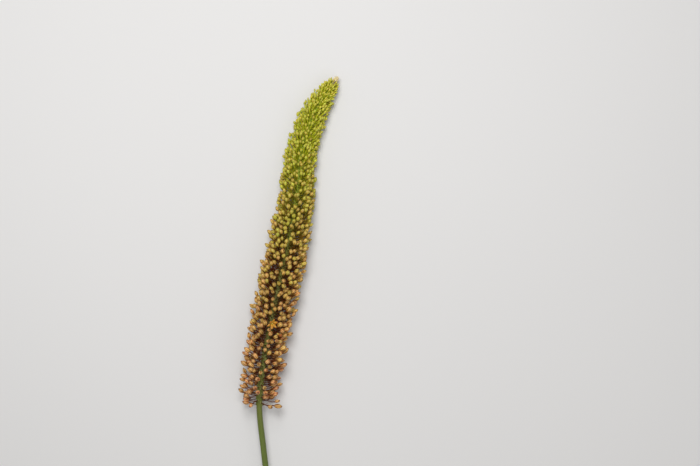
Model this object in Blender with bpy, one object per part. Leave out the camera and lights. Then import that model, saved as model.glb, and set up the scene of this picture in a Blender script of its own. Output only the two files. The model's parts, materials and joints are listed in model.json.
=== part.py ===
# Foxtail lily flower spike: one cut stem with its buds, lying on a flat surface.
# Metres, +Z up. +Y runs from the cut end to the tip, and the spike lies on z = 0.
# The origin is on that surface, under the middle of the spike's outer box.

import bisect
import math
import random

import bmesh
import bpy
from mathutils import Vector
from mathutils.geometry import interpolate_bezier

# Where the lowest bud's height on the stem lies, in x and y
RACEME_FOOT = (-0.0460, -0.0751)

# The stem's centre line from the cut end to the tip: x and y from the foot, and height
STEM_ROUTE = (
    (0.0380, -0.3220, 0.0045),
    (0.0215, -0.1900, 0.0120),
    (0.0065, -0.0700, 0.0195),
    (0.0005, 0.0000, 0.0235),
    (0.0068, 0.0540, 0.0250),
    (0.0215, 0.1330, 0.0245),
    (0.0395, 0.2130, 0.0220),
    (0.0535, 0.2900, 0.0180),
    (0.0615, 0.3600, 0.0145),
    (0.0770, 0.4090, 0.0125),
    (0.1120, 0.4660, 0.0110),
)
ROUTE_SAMPLES = 16
RACEME_START = 0.3265
RACEME_LENGTH = 0.4800

# Thickness along the whole length: share of the length, radius. Past the middle of the
# raceme a slim core round the stem fills the depth of the crowded young buds
STEM_RADIUS = ((0.0, 0.0047), (0.42, 0.0041), (0.66, 0.0034), (0.74, 0.0062), (0.86, 0.0064),
               (0.95, 0.0042), (1.0, 0.0012))
STEM_SECTIONS = 32

# The raceme from its foot to its tip: share of its length, value
BUD_PITCH = ((0.0, 0.00170), (0.08, 0.00130), (0.45, 0.00121), (0.62, 0.00096), (1.0, 0.00074))
REACH = ((0.0, 0.029), (0.15, 0.032), (0.45, 0.0325), (0.56, 0.0285), (0.70, 0.0245), (0.82, 0.0225),
         (0.88, 0.0200), (0.93, 0.0150), (0.965, 0.0108), (1.0, 0.0060))
INNERMOST = ((0.0, 0.86), (0.45, 0.80), (0.70, 0.66), (1.0, 0.62))
LEAN = ((0.0, 88), (0.45, 78), (0.70, 64), (0.85, 54), (0.95, 42), (1.0, 22))
BUD_LENGTH = ((0.0, 0.0120), (0.45, 0.0116), (0.70, 0.0108), (0.88, 0.0088), (1.0, 0.0062))
BUD_RADIUS = ((0.0, 0.0036), (0.45, 0.0036), (0.70, 0.0033), (0.88, 0.0027), (1.0, 0.0017))

GOLDEN_ANGLE = math.radians(137.508)
YOUNGEST_GAP = 0.0040
OUTERMOST = 1.05
BUD_SEED = 5
TURN_JITTER = 0.12
LEAN_JITTER = 7
SIZE_JITTER = 0.08

# A stalk leaves the stem below its bud's height, and the bud turns up from it
RISE_SHARE = 0.25
LOWEST_ROOT = 0.010
UPTURN = 0.35
STALK_RADIUS = 0.0007
ROOT_RADIUS = 0.0005
ROOT_SHARE = 0.3
SHORTEST_STALK = 0.0010
BUD_OVERHANG = 0.9

# A bud's widest rings: share of its length, share of its radius, turn. The lowest
# buds, which are the largest, have two
FULL_SHAPE_SHARE = 0.12
FULL_RINGS = ((0.34, 1.20, 0.0), (0.68, 0.98, math.pi / 3))
PLAIN_RINGS = ((0.45, 1.32, 0.0),)

# The buds that carry the spike turn clear of the surface, and are pressed flat on it
TIP_CLEARANCE = 0.4
PRESS_DEPTH = 0.0007
SURFACE_REACH = 0.0002

# The one floret that is opening, and the dry bracts at the very tip
FLORET_HEIGHT = 0.117
FLORET_LIFT = 0.015
OVARY_LENGTH = 0.004
OVARY_RADIUS = 0.0013
TEPAL_COUNT = 6
TEPAL_LENGTH = 0.0105
TEPAL_WIDTH = 0.0042
TEPAL_THICKNESS = 0.0008
TEPAL_SPREAD = math.radians(48)
WIDEST_SHARE = 0.55
TUFT_COUNT = 7
TUFT_LENGTH = 0.0065
TUFT_RADIUS = 0.0007
TUFT_SUNK = 0.002
TUFT_SPREAD = math.radians(38)
SHARP_ANGLE = math.radians(50)


def clear_scene():
    for item in list(bpy.data.objects):
        bpy.data.objects.remove(item, do_unlink=True)


def add_collection(name):
    collection = bpy.data.collections.new(name)
    bpy.context.scene.collection.children.link(collection)
    return collection


def add_object(name, mesh, collection):
    item = bpy.data.objects.new(name, mesh)
    collection.objects.link(item)
    return item


def read_profile(profile, share):
    share = min(max(share, profile[0][0]), profile[-1][0])
    for (start, low), (end, high) in zip(profile, profile[1:]):
        if share <= end:
            return low + (high - low) * (share - start) / (end - start)


# Pieces before they are joined

def finish_body(shape, mesh):
    # What reaches below the surface is pressed flat on it
    everything = list(shape.verts) + list(shape.edges) + list(shape.faces)
    bmesh.ops.bisect_plane(
        shape,
        geom=everything,
        plane_co=(0, 0, 0),
        plane_no=(0, 0, 1),
        clear_inner=True,
    )
    bmesh.ops.holes_fill(shape, edges=[edge for edge in shape.edges if edge.is_boundary])
    bmesh.ops.triangulate(shape, faces=shape.faces)
    bmesh.ops.recalc_face_normals(shape, faces=shape.faces)
    shape.to_mesh(mesh)
    shape.free()


# The stem's line

def stem_line():
    foot = Vector((RACEME_FOOT[0], RACEME_FOOT[1], 0.0))
    route = [Vector(point) + foot for point in STEM_ROUTE]
    chords = [end - start for start, end in zip(route, route[1:])]
    headings = [chords[0].normalized()]
    headings += [(a.normalized() + b.normalized()).normalized() for a, b in zip(chords, chords[1:])]
    headings.append(chords[-1].normalized())
    points = []
    for i, chord in enumerate(chords):
        handle = chord.length / 3
        stretch = interpolate_bezier(
            route[i],
            route[i] + headings[i] * handle,
            route[i + 1] - headings[i + 1] * handle,
            route[i + 1],
            ROUTE_SAMPLES,
        )
        points += stretch[:-1]
    points.append(route[-1])
    distances = [0.0]
    for start, end in zip(points, points[1:]):
        distances.append(distances[-1] + (end - start).length)
    return points, distances


def place_on(line, distance):
    points, distances = line
    i = min(max(bisect.bisect_right(distances, distance) - 1, 0), len(points) - 2)
    along = points[i + 1] - points[i]
    return points[i] + along.normalized() * (distance - distances[i]), along.normalized()


def sides_of(along):
    right = along.cross(Vector((0, 0, 1))).normalized()
    return right, right.cross(along)


def make_stem(line, collection):
    curve = bpy.data.curves.new("stem_curve", "CURVE")
    curve.dimensions = "3D"
    curve.bevel_depth = 1.0
    curve.bevel_resolution = 2
    curve.use_fill_caps = True
    spline = curve.splines.new("POLY")
    spline.points.add(STEM_SECTIONS)
    total = line[1][-1]
    for k in range(STEM_SECTIONS + 1):
        share = k / STEM_SECTIONS
        point, _ = place_on(line, share * total)
        spline.points[k].co = (*point, 1.0)
        spline.points[k].radius = read_profile(STEM_RADIUS, share)
    item = bpy.data.objects.new("stem_curve", curve)
    collection.objects.link(item)
    bpy.context.view_layer.update()
    evaluated = item.evaluated_get(bpy.context.evaluated_depsgraph_get())
    mesh = bpy.data.meshes.new_from_object(evaluated)
    bpy.data.objects.remove(item)
    shape = bmesh.new()
    shape.from_mesh(mesh)
    bmesh.ops.remove_doubles(shape, verts=shape.verts, dist=0.00001)
    finish_body(shape, mesh)
    return mesh


# The buds

def plan_buds(line):
    chance = random.Random(BUD_SEED)
    total = line[1][-1]
    buds = []
    height = 0.0
    while height < RACEME_LENGTH - YOUNGEST_GAP:
        share = height / RACEME_LENGTH
        turn = len(buds) * GOLDEN_ANGLE + chance.uniform(-TURN_JITTER, TURN_JITTER)
        lean = math.radians(read_profile(LEAN, share) + chance.uniform(-LEAN_JITTER, LEAN_JITTER))
        size = 1 + chance.uniform(-SIZE_JITTER, SIZE_JITTER)
        roll = chance.uniform(0, math.tau)
        depth = chance.uniform(read_profile(INNERMOST, share), OUTERMOST)
        reach = read_profile(REACH, share)
        distance = RACEME_START + max(height - RISE_SHARE * reach, -LOWEST_ROOT)
        centre, along = place_on(line, distance)
        right, up = sides_of(along)
        outward = right * math.cos(turn) + up * math.sin(turn)
        stem_radius = read_profile(STEM_RADIUS, distance / total)
        length = read_profile(BUD_LENGTH, share) * size
        radius = read_profile(BUD_RADIUS, share) * size
        root = centre + outward * stem_radius * ROOT_SHARE
        spread = reach * depth - stem_radius * ROOT_SHARE
        stalk = spread / math.sin(lean) - length * BUD_OVERHANG
        stalk = max(stalk, stem_radius + SHORTEST_STALK)
        heading = along * math.cos(lean) + outward * math.sin(lean)
        heading = lift_clear(root, heading, stalk, radius)
        neck = root + heading * stalk
        facing = (heading + along * UPTURN).normalized()
        facing = lift_clear(neck, facing, length, radius * TIP_CLEARANCE)
        buds.append({
            "height": height,
            "root": root,
            "neck": neck,
            "heading": heading,
            "facing": facing,
            "side": outward.cross(along),
            "length": length,
            "radius": radius,
            "roll": roll,
            "full": share < FULL_SHAPE_SHARE,
        })
        height += read_profile(BUD_PITCH, share)
    return buds


def lift_clear(start, heading, reach, lowest):
    # A stalk that would reach below the surface swings up and keeps its length
    if start.z + heading.z * reach >= lowest:
        return heading
    rise = (lowest - start.z) / reach
    level = Vector((heading.x, heading.y, 0.0)).normalized()
    return level * math.sqrt(max(1 - rise * rise, 0.0)) + Vector((0, 0, rise))


def ring_round(centre, along, side, radius, roll):
    across = (side - along * side.dot(along)).normalized()
    other = along.cross(across)
    corners = []
    for k in range(3):
        angle = roll + math.tau * k / 3
        corners.append(centre + (across * math.cos(angle) + other * math.sin(angle)) * radius)
    return corners


def stalk_rings(bud, roll):
    # Three corners a ring, from inside the stem to the foot of the bud
    return [
        ring_round(bud["root"], bud["heading"], bud["side"], ROOT_RADIUS, roll),
        ring_round(bud["neck"], bud["heading"], bud["side"], STALK_RADIUS, roll),
    ]


def bud_rings(bud):
    # The corners stand a little outside the round bud, so that its volume is right
    neck = bud["neck"]
    facing = bud["facing"]
    length = bud["length"]
    rings = stalk_rings(bud, bud["roll"])
    for share, swell, turn in FULL_RINGS if bud["full"] else PLAIN_RINGS:
        centre = neck + facing * length * share
        radius = bud["radius"] * swell
        rings.append(ring_round(centre, facing, bud["side"], radius, bud["roll"] + turn))
    return rings, neck + facing * length


def press_down(rings, apex):
    # A bud that comes near the surface is brought to rest on it, slightly pressed in
    outer = [corner for ring in rings[1:] for corner in ring] + [apex]
    lowest = min(corner.z for corner in outer)
    if lowest < SURFACE_REACH:
        for corner in outer:
            corner.z += -PRESS_DEPTH - lowest


def loft(rings, apex):
    # A closed body through rings of three corners: a flat root, then on to a point
    shape = bmesh.new()
    rows = [[shape.verts.new(corner) for corner in ring] for ring in rings]
    tip = shape.verts.new(apex)
    shape.faces.new(rows[0])
    for low, high in zip(rows, rows[1:]):
        for k in range(3):
            after = (k + 1) % 3
            shape.faces.new((low[k], low[after], high[k]))
            shape.faces.new((high[k], low[after], high[after]))
    for k in range(3):
        shape.faces.new((rows[-1][k], rows[-1][(k + 1) % 3], tip))
    mesh = bpy.data.meshes.new("loft")
    finish_body(shape, mesh)
    return mesh


def opening_bud(buds):
    # The upper bud nearest to the floret's height on the raceme
    upper = [bud for bud in buds if bud["neck"].z > bud["root"].z + FLORET_LIFT]
    return min(upper, key=lambda bud: abs(bud["height"] - FLORET_HEIGHT))


def make_buds(buds, collection):
    opening = opening_bud(buds)
    for number, bud in enumerate(buds):
        if bud is not opening:
            rings, apex = bud_rings(bud)
            press_down(rings, apex)
            add_object(f"bud_{number}", loft(rings, apex), collection)
    make_floret(opening, collection)


def make_floret(bud, collection):
    # A stalk with an ovary at its end, and six keeled tepals spread from it
    neck = bud["neck"]
    facing = bud["facing"]
    side = bud["side"]
    rings = stalk_rings(bud, 0.0)
    swelling = neck + facing * OVARY_LENGTH / 2
    rings.append(ring_round(swelling, facing, side, OVARY_RADIUS, 0.0))
    add_object("ovary", loft(rings, neck + facing * OVARY_LENGTH), collection)
    across = (side - facing * side.dot(facing)).normalized()
    other = facing.cross(across)
    for k in range(TEPAL_COUNT):
        angle = math.tau * k / TEPAL_COUNT
        outward = across * math.cos(angle) + other * math.sin(angle)
        run = facing * math.cos(TEPAL_SPREAD) + outward * math.sin(TEPAL_SPREAD)
        breadth = facing.cross(outward)
        keel = run.cross(breadth) * TEPAL_THICKNESS
        foot = keeled_ring(neck, breadth * TEPAL_THICKNESS, keel)
        widest = keeled_ring(neck + run * TEPAL_LENGTH * WIDEST_SHARE, breadth * TEPAL_WIDTH / 2, keel)
        add_object(f"tepal_{k}", loft([foot, widest], neck + run * TEPAL_LENGTH), collection)


def keeled_ring(centre, edge, keel):
    # A flat blade's section, with its edges to the sides and its rib on the outside
    return [centre + edge, centre - keel, centre - edge]


def make_tuft(line, collection):
    # Dry bracts that stand past the youngest buds
    tip, along = place_on(line, line[1][-1] - TUFT_SUNK)
    right, up = sides_of(along)
    for k in range(TUFT_COUNT):
        angle = k * GOLDEN_ANGLE
        spread = TUFT_SPREAD * math.sqrt((k + 0.5) / TUFT_COUNT)
        outward = right * math.cos(angle) + up * math.sin(angle)
        heading = along * math.cos(spread) + outward * math.sin(spread)
        foot = ring_round(tip, heading, outward.cross(along), TUFT_RADIUS, 0.0)
        bract = loft([foot], tip + heading * (TUFT_LENGTH + TUFT_SUNK))
        add_object(f"bract_{k}", bract, collection)


# Joining

def join_all(item, pieces):
    union = item.modifiers.new("join", "BOOLEAN")
    union.operation = "UNION"
    union.operand_type = "COLLECTION"
    union.collection = pieces
    union.solver = "MANIFOLD"
    bpy.context.view_layer.update()
    evaluated = item.evaluated_get(bpy.context.evaluated_depsgraph_get())
    joined = bpy.data.meshes.new_from_object(evaluated)
    item.modifiers.clear()
    keep_largest_body(joined)
    item.data = joined
    for piece in list(pieces.objects):
        bpy.data.objects.remove(piece, do_unlink=True)
    bpy.data.collections.remove(pieces)


def keep_largest_body(mesh):
    # Scraps cut loose under the surface, and hollows sealed among buds, are dropped
    shape = bmesh.new()
    shape.from_mesh(mesh)
    waiting = set(shape.faces)
    bodies = []
    while waiting:
        body = []
        front = [waiting.pop()]
        while front:
            face = front.pop()
            body.append(face)
            for edge in face.edges:
                for other in edge.link_faces:
                    if other in waiting:
                        waiting.remove(other)
                        front.append(other)
        bodies.append(body)
    largest = max(bodies, key=len)
    loose = [face for body in bodies if body is not largest for face in body]
    bmesh.ops.delete(shape, geom=loose, context="FACES")
    shape.to_mesh(mesh)
    shape.free()


def spike_material():
    material = bpy.data.materials.new("bud_green_gold")
    material.use_nodes = True
    surface = material.node_tree.nodes["Principled BSDF"]
    surface.inputs["Base Color"].default_value = (0.42, 0.36, 0.07, 1.0)
    surface.inputs["Roughness"].default_value = 0.55
    surface.inputs["Metallic"].default_value = 0.0
    return material


def main():
    clear_scene()
    spike_parts = add_collection("foxtail_lily_spike")
    pieces = add_collection("pieces")
    line = stem_line()
    spike = add_object("flower_spike", make_stem(line, spike_parts), spike_parts)
    make_buds(plan_buds(line), pieces)
    make_tuft(line, pieces)
    join_all(spike, pieces)
    spike.data.shade_smooth()
    spike.data.set_sharp_from_angle(angle=SHARP_ANGLE)
    spike.data.materials.clear()
    spike.data.materials.append(spike_material())


main()
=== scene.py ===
# Foxtail lily flower spike: the finish of its stem, stalks, buds, bracts and opening floret
import bisect
import json
import math
import random

import bmesh
import bpy
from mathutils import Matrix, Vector, kdtree
from mathutils.geometry import interpolate_bezier

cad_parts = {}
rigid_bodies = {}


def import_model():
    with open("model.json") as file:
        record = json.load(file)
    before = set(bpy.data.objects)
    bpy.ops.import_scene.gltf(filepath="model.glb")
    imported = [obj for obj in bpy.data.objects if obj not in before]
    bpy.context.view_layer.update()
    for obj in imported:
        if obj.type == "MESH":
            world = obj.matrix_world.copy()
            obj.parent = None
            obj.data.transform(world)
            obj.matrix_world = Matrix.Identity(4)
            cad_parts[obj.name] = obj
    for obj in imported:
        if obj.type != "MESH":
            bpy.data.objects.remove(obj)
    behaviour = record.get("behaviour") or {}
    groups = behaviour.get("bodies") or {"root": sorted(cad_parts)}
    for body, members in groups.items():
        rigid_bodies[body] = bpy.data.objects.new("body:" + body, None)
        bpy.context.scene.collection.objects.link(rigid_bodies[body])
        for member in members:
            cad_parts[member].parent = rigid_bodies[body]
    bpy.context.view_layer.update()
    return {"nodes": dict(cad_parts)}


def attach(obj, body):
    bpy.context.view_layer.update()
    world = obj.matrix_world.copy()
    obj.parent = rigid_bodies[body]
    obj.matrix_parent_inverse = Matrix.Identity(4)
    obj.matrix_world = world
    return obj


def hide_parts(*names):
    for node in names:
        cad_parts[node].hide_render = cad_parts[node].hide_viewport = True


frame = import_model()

print("frame loaded:", ", ".join(frame["nodes"]))

upward = Vector((0.0, 0.0, 1.0))
goldenAngle = math.radians(137.508)
tepalCount = 6


# Small helpers

def readProfile(profile, share):
    # The value at a share of the length, on straight runs between the profile's points
    share = min(max(share, profile[0][0]), profile[-1][0])
    for (start, low), (end, high) in zip(profile, profile[1:]):
        if share <= end:
            return low + (high - low) * (share - start) / (end - start)


def swing(first, second, angle):
    # The direction at this angle from the first one towards the second
    return first * math.cos(angle) + second * math.sin(angle)


def addObject(name, data):
    item = bpy.data.objects.new(name, data)
    bpy.context.scene.collection.objects.link(item)
    return item


def newShape():
    shape = bmesh.new()
    return shape, shape.loops.layers.uv.new("UVMap")


def joinRings(shape, rings):
    # Faces from each ring of corners to the next
    faces = []
    for low, high in zip(rings, rings[1:]):
        for k in range(len(low)):
            after = (k + 1) % len(low)
            faces.append(shape.faces.new((low[k], low[after], high[after], high[k])))
    return faces


def closeEnds(shape, rings):
    return [shape.faces.new(rings[-1]), shape.faces.new(list(reversed(rings[0])))]


def mapCorners(faces, uvLayer, spots):
    # Every corner has one spot on the UV map
    for face in faces:
        for loop in face.loops:
            loop[uvLayer].uv = spots[loop.vert]


def closeShape(name, shape):
    mesh = bpy.data.meshes.new(name)
    shape.to_mesh(mesh)
    shape.free()
    return mesh


def addPiece(name, shape, material):
    item = addObject(name, closeShape(name, shape))
    item.data.materials.append(material)
    return item


def pointMesh(name, rows, edges=()):
    # A loose point for each row, with the row's other values as attributes that the node trees read
    kinds = {Vector: ("FLOAT_VECTOR", "vector"), float: ("FLOAT", "value"), int: ("INT", "value")}
    mesh = bpy.data.meshes.new(name)
    mesh.from_pydata([row["place"] for row in rows], edges, [])
    for label, sample in rows[0].items():
        if label != "place":
            kind, field = kinds[type(sample)]
            attribute = mesh.attributes.new(label, kind, "POINT")
            for slot, row in zip(attribute.data, rows):
                setattr(slot, field, row[label])
    return mesh


# Nodes, in trees that grow pieces and in materials alike

def addNode(tree, kind, inputs=None, **settings):
    # An input, by its name or number, is linked where a socket is given, and otherwise set. The
    # node's outputs come back
    node = tree.nodes.new(kind)
    for label, value in settings.items():
        setattr(node, label, value)
    for label, value in (inputs or {}).items():
        if isinstance(value, bpy.types.NodeSocket):
            tree.links.new(value, node.inputs[label])
        else:
            node.inputs[label].default_value = value
    return node.outputs


def calculate(tree, operation, first, second=0.0, third=0.0):
    return addNode(tree, "ShaderNodeMath", {0: first, 1: second, 2: third}, operation=operation)[0]


def fromMiddle(tree, value):
    # How far a value is from the middle between two whole numbers
    offset = calculate(tree, "SUBTRACT", calculate(tree, "FRACT", value), 0.5)
    return calculate(tree, "ABSOLUTE", offset)


def scaleVector(tree, vector, factor):
    return addNode(tree, "ShaderNodeVectorMath", {0: vector, "Scale": factor}, operation="SCALE")[0]


def spread(tree, value, fromLow, fromHigh, toLow, toHigh, kind="LINEAR"):
    # One range stretched to another, and held at its ends
    return addNode(tree, "ShaderNodeMapRange", {
        "Value": value, "From Min": fromLow, "From Max": fromHigh, "To Min": toLow, "To Max": toHigh},
        interpolation_type=kind)[0]


def mask(tree, value, start, end, strength=1.0):
    # Nothing at the start, and softly up to its strength at the end
    return spread(tree, value, start, end, 0.0, strength, "SMOOTHSTEP")


def addNoise(tree, place, scale, detail):
    return addNode(tree, "ShaderNodeTexNoise", {
        "Vector": place, "Scale": scale, "Detail": detail})["Fac"]


# Node trees that grow pieces

def newTree(name, inputs):
    tree = bpy.data.node_groups.new(name, "GeometryNodeTree")
    for side in ("INPUT", "OUTPUT"):
        tree.interface.new_socket("Geometry", in_out=side, socket_type="NodeSocketGeometry")
    for label, kind in inputs.items():
        tree.interface.new_socket(label, in_out="INPUT", socket_type="NodeSocket" + kind)
    return tree, addNode(tree, "NodeGroupInput")


def namedValue(tree, label, kind="FLOAT"):
    outputs = addNode(tree, "GeometryNodeInputNamedAttribute", {"Name": label}, data_type=kind)
    return next(socket for socket in outputs if socket.enabled)


def closeTree(tree, geometry, material):
    # Every tree ends in plain, smooth faces with their material
    real = addNode(tree, "GeometryNodeRealizeInstances", {"Geometry": geometry})[0]
    smooth = addNode(tree, "GeometryNodeSetShadeSmooth", {"Geometry": real})[0]
    done = addNode(tree, "GeometryNodeSetMaterial", {"Geometry": smooth, "Material": material})[0]
    addNode(tree, "NodeGroupOutput", {"Geometry": done})
    return tree


def copiesTree():
    # A copy of one of the shapes at each point, pointing along "facing", stretched by "size"
    tree, given = newTree("copiesOnPoints", {"Shapes": "Collection", "Size": "Float", "Material": "Material"})
    shapes = addNode(tree, "GeometryNodeCollectionInfo", {
        "Collection": given["Shapes"], "Separate Children": True, "Reset Children": True})[0]
    turn = addNode(tree, "FunctionNodeAxesToRotation", {
        "Primary Axis": namedValue(tree, "facing", "FLOAT_VECTOR"),
        "Secondary Axis": namedValue(tree, "across", "FLOAT_VECTOR"),
    }, primary_axis="Z", secondary_axis="X")[0]
    copies = addNode(tree, "GeometryNodeInstanceOnPoints", {
        "Points": given["Geometry"],
        "Instance": shapes,
        "Pick Instance": True,
        "Instance Index": namedValue(tree, "kind", "INT"),
        "Rotation": turn,
        "Scale": scaleVector(tree, namedValue(tree, "size", "FLOAT_VECTOR"), given["Size"])})[0]
    return closeTree(tree, copies, given["Material"])


def tubesTree():
    # A tube along each run of edges, as thick as "thickness" says, ribbed and a little uneven
    tree, given = newTree("tubesOnEdges", {
        "Sides": "Int", "Ribs": "Float", "Rib Depth": "Float", "Unevenness": "Float", "Grain": "Float",
        "Seed": "Float", "Material": "Material"})
    ring = addNode(tree, "GeometryNodeCurvePrimitiveCircle", {"Resolution": given["Sides"], "Radius": 1.0})[0]
    place = addNode(tree, "GeometryNodeInputPosition")[0]
    marked = addNode(tree, "GeometryNodeStoreNamedAttribute", {
        "Geometry": ring, "Name": "around", "Value": place}, data_type="FLOAT_VECTOR")[0]
    parts = addNode(tree, "ShaderNodeSeparateXYZ", {0: place})
    angle = calculate(tree, "ARCTAN2", parts[1], parts[0])
    wave = calculate(tree, "COSINE", calculate(tree, "MULTIPLY", angle, given["Ribs"]))
    swell = calculate(tree, "MULTIPLY_ADD", wave, given["Rib Depth"], 1.0)
    profile = addNode(tree, "GeometryNodeSetPosition", {
        "Geometry": marked, "Position": scaleVector(tree, place, swell)})[0]
    curve = addNode(tree, "GeometryNodeMeshToCurve", {"Mesh": given["Geometry"]})[0]
    tube = addNode(tree, "GeometryNodeCurveToMesh", {
        "Curve": curve, "Profile Curve": profile, "Scale": namedValue(tree, "thickness"),
        "Fill Caps": True})[0]
    grain = addNode(tree, "ShaderNodeTexNoise", {
        "W": given["Seed"], "Scale": given["Grain"], "Detail": 1.0}, noise_dimensions="4D")["Fac"]
    height = calculate(tree, "MULTIPLY", calculate(tree, "SUBTRACT", grain, 0.5), given["Unevenness"])
    normal = addNode(tree, "GeometryNodeInputNormal")[0]
    uneven = addNode(tree, "GeometryNodeSetPosition", {
        "Geometry": tube, "Offset": scaleVector(tree, normal, height)})[0]
    return closeTree(tree, uneven, given["Material"])


def grow(name, points, tree, values):
    # Runs the tree on the points and keeps its result as a plain mesh
    item = addObject(name, points)
    modifier = item.modifiers.new(tree.name, "NODES")
    modifier.node_group = tree
    for socket in tree.interface.items_tree:
        if socket.in_out == "INPUT" and socket.name in values:
            modifier[socket.identifier] = values[socket.name]
    depsgraph = bpy.context.evaluated_depsgraph_get()
    evaluated = item.evaluated_get(depsgraph)
    mesh = bpy.data.meshes.new_from_object(evaluated, preserve_all_data_layers=True, depsgraph=depsgraph)
    item.modifiers.clear()
    item.data = mesh
    mesh.name = name
    print(name, "grown:", len(mesh.polygons), "faces")
    return item


def growCopies(name, rows, shapes, material):
    # The shapes wait in a collection that the scene doesn't show, and go when they are copied
    collection = bpy.data.collections.new(name + "Shapes")
    for number, mesh in enumerate(shapes):
        collection.objects.link(bpy.data.objects.new(f"{name}Shape{number}", mesh))
    item = grow(name, pointMesh(name, rows), copies, {
        "Shapes": collection, "Size": 1.0, "Material": material})
    for shape in list(collection.objects):
        bpy.data.objects.remove(shape)
    bpy.data.collections.remove(collection)
    return item


copies = copiesTree()
tubes = tubesTree()


# Shader node groups that more than one material uses

def newGroup(name, inputs, outputs):
    # An input that starts with one number is a value, any other a vector. The outputs are values
    group = bpy.data.node_groups.new(name, "ShaderNodeTree")
    for label, value in inputs.items():
        kind = "NodeSocketFloat" if isinstance(value, float) else "NodeSocketVector"
        group.interface.new_socket(label, in_out="INPUT", socket_type=kind).default_value = value
    for label in outputs:
        group.interface.new_socket(label, in_out="OUTPUT", socket_type="NodeSocketFloat")
    return group, addNode(group, "NodeGroupInput")


def closeGroup(group, results):
    addNode(group, "NodeGroupOutput", results)
    return group


def mottleGroup():
    # Soft blotches and fine grain of fresh plant skin, in Object coordinates
    group, given = newGroup("mottle", {"Blotch Scale": 250.0, "Grain Scale": 1800.0}, ("Blotch", "Grain"))
    place = addNode(group, "ShaderNodeTexCoord")["Object"]
    return closeGroup(group, {
        "Blotch": addNoise(group, place, given["Blotch Scale"], 2.0),
        "Grain": addNoise(group, place, given["Grain Scale"], 1.0)})


def fibreGroup():
    # Fine lines that run along a piece: the coordinates are stretched along it
    group, given = newGroup("fibres", {
        "Around": (0.0, 0.0, 0.0), "Along": 0.0, "Fineness": 8.0, "Stretch": 20.0}, ("Lines",))
    lift = addNode(group, "ShaderNodeCombineXYZ", {
        "Z": calculate(group, "MULTIPLY", given["Along"], given["Stretch"])})[0]
    wide = scaleVector(group, given["Around"], given["Fineness"])
    place = addNode(group, "ShaderNodeVectorMath", {0: wide, 1: lift}, operation="ADD")[0]
    return closeGroup(group, {"Lines": addNoise(group, place, 1.0, 3.0)})


def tepalGroup():
    # Where a point lies on its tepal, from a UV map that counts tepals across and runs from 0 to 1 along
    group, given = newGroup("tepalMarks", {"Rib Width": 0.12, "Margin Width": 0.12},
                            ("Rib", "Margin", "Along", "Across"))
    spot = addNode(group, "ShaderNodeUVMap", uv_map="UVMap")[0]
    parts = addNode(group, "ShaderNodeSeparateXYZ", {0: spot})
    aside = fromMiddle(group, calculate(group, "ADD", parts[0], 0.5))
    inner = calculate(group, "SUBTRACT", 0.5, given["Margin Width"])
    return closeGroup(group, {
        "Rib": mask(group, aside, given["Rib Width"], 0.0),
        "Margin": mask(group, aside, inner, 0.5),
        "Along": parts[1],
        "Across": parts[0]})


mottle = mottleGroup()
fibres = fibreGroup()
tepalMarks = tepalGroup()


# Steps that every material takes. Colours are given as a screen shows them, 0 to 255

def linear(colour):
    # The light values that shaders use
    return tuple(pow((c / 255 + 0.055) / 1.055, 2.4) for c in colour) + (1.0,)


def newMaterial(name, values):
    # The values that are the same all over are set on the shader itself
    material = bpy.data.materials.new(name)
    material.use_nodes = True
    surface = material.node_tree.nodes["Principled BSDF"]
    for label, value in {"Metallic": 0.0, **values}.items():
        surface.inputs[label].default_value = value
    return material, material.node_tree, surface


def addGroup(tree, group, inputs=None):
    return addNode(tree, "ShaderNodeGroup", inputs, node_tree=group)


def readAttribute(tree, label, output="Fac"):
    return addNode(tree, "ShaderNodeAttribute", attribute_name=label)[output]


def ramp(tree, value, stops):
    colour = addNode(tree, "ShaderNodeValToRGB", {0: value})["Color"]
    points = colour.node.color_ramp.elements
    while len(points) < len(stops):
        points.new(0.5)
    for point, (share, shown) in zip(points, stops):
        point.position = share
        point.color = linear(shown)
    return colour


def mixColours(tree, share, *colours):
    # Two colours, each given as three numbers or as a socket
    first, second = [linear(colour) if isinstance(colour, tuple) else colour for colour in colours]
    return addNode(tree, "ShaderNodeMix", {0: share, 6: first, 7: second}, data_type="RGBA")[2]


def paint(tree, surface, colour, light, hue=0.5):
    # The skin's colour, as light or dark as it is here, and turned from hue 0.5
    shade = addNode(tree, "ShaderNodeHueSaturation", {"Color": colour, "Hue": hue, "Value": light})[0]
    tree.links.new(shade, surface.inputs["Base Color"])


def addBump(tree, surface, height, distance):
    bump = addNode(tree, "ShaderNodeBump", {"Strength": 1.0, "Distance": distance, "Height": height})[0]
    tree.links.new(bump, surface.inputs["Normal"])


def addGrooves(tree, surface, across, grain, count, share, distance):
    # Fine grooves along each tepal or bract, so many across it, on top of the skin's grain
    lines = calculate(tree, "SINE", calculate(tree, "MULTIPLY", across, math.tau * count))
    addBump(tree, surface, calculate(tree, "MULTIPLY_ADD", lines, share, grain), distance)


# The stem's line, as in the CAD model

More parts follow.
